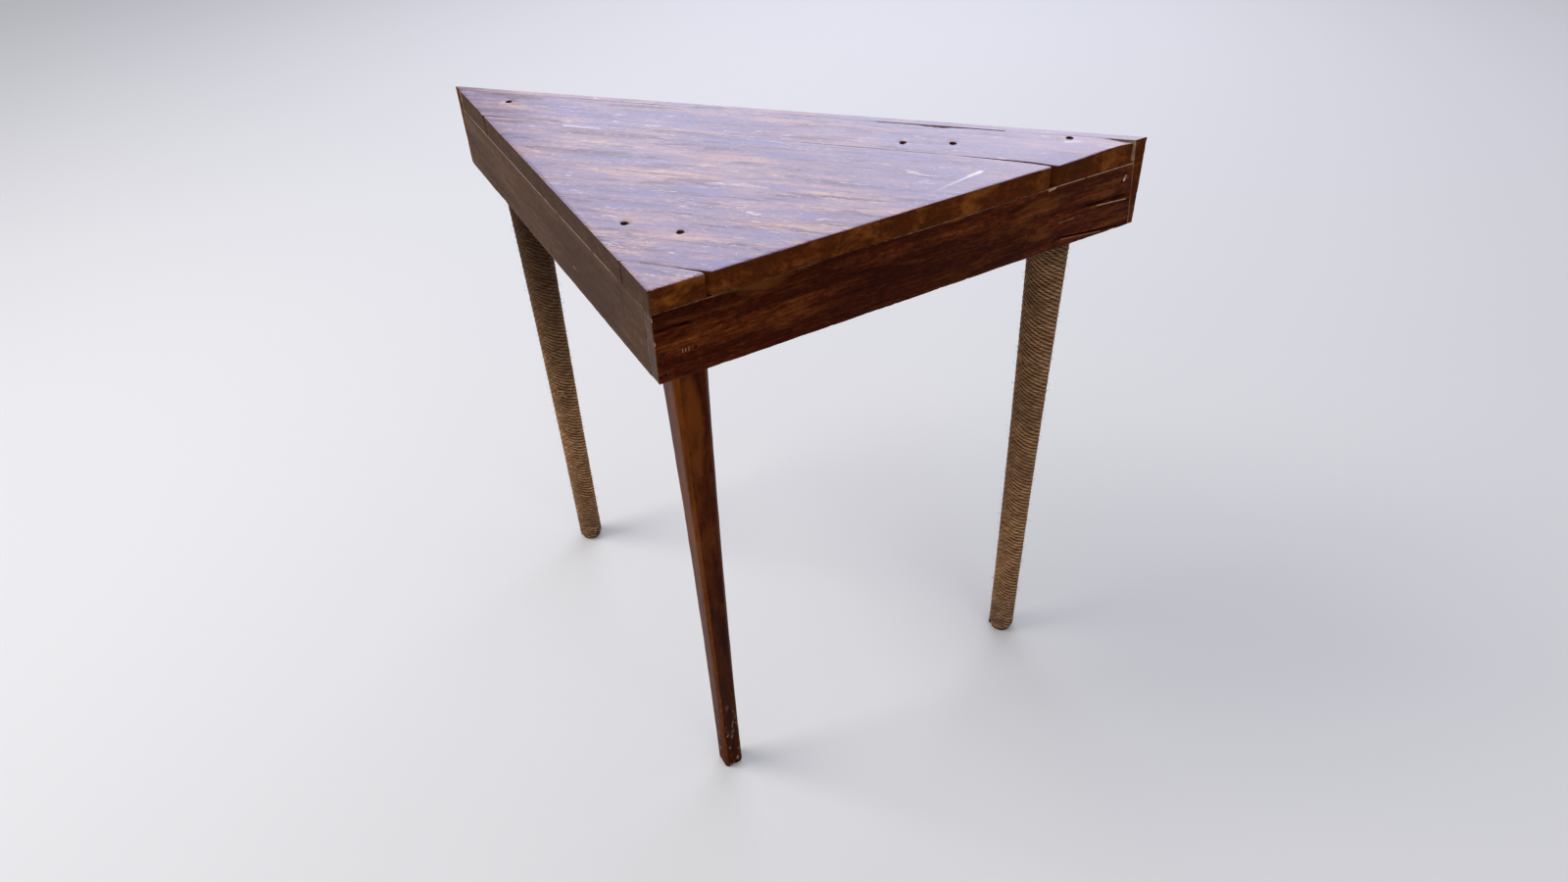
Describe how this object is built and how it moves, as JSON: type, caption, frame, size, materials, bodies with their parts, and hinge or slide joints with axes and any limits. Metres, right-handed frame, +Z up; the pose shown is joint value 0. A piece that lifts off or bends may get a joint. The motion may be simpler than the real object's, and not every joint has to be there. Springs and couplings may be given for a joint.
{
  "type": "triangular corner table",
  "caption": "Small home-made corner table: right-angled triangular board top, deep aprons, one bare tapered leg and tapered legs wound with jute twine.",
  "frame": {"origin": "on the floor, under the middle of the table's plan box", "axes": "+X along the long back edge to the right, +Y to the back edge, away from the right-angled corner, +Z up"},
  "size_m": [0.8626, 0.4314, 0.76],
  "materials": {
    "top_wood": "dark red-brown stain under worn gloss varnish, grain along the long edge",
    "apron_wood": "dark red-brown stain, semi-gloss varnish, amber where it wore",
    "left_apron_wood": "duller brown stain, satin",
    "leg_wood": "dark brown stain, semi-gloss, amber streaks, scuffed foot",
    "raw_wood": "unfinished sawn softwood",
    "core_wood": "plain turned softwood",
    "jute_twine": "rough twisted jute twine, close wound, dirty at the foot",
    "screw_steel": "dull zinc",
    "nail_steel": "dark, lightly rusted"
  },
  "bodies": {
    "root": {"top_board_back": "top_wood", "top_board_middle": "top_wood", "top_board_front": "top_wood", "back_apron": "apron_wood", "left_apron": "left_apron_wood", "right_apron": "apron_wood", "cross_batten": "raw_wood", "front_leg": "leg_wood", "left_leg_core": "core_wood", "right_leg_core": "core_wood", "left_twine_wrap": "jute_twine", "right_twine_wrap": "jute_twine", "twine_knot": "jute_twine", "twine_tacks": "nail_steel", "left_glue_blocks": "raw_wood", "right_glue_blocks": "raw_wood", "batten_screws": "screw_steel", "leg_screws": "screw_steel", "corner_nails": "nail_steel", "front_leg_nails": "nail_steel", "back_edge_nails": "nail_steel", "back_end_nails": "nail_steel", "rear_leg_nails": "nail_steel"}
  },
  "joints": []
}
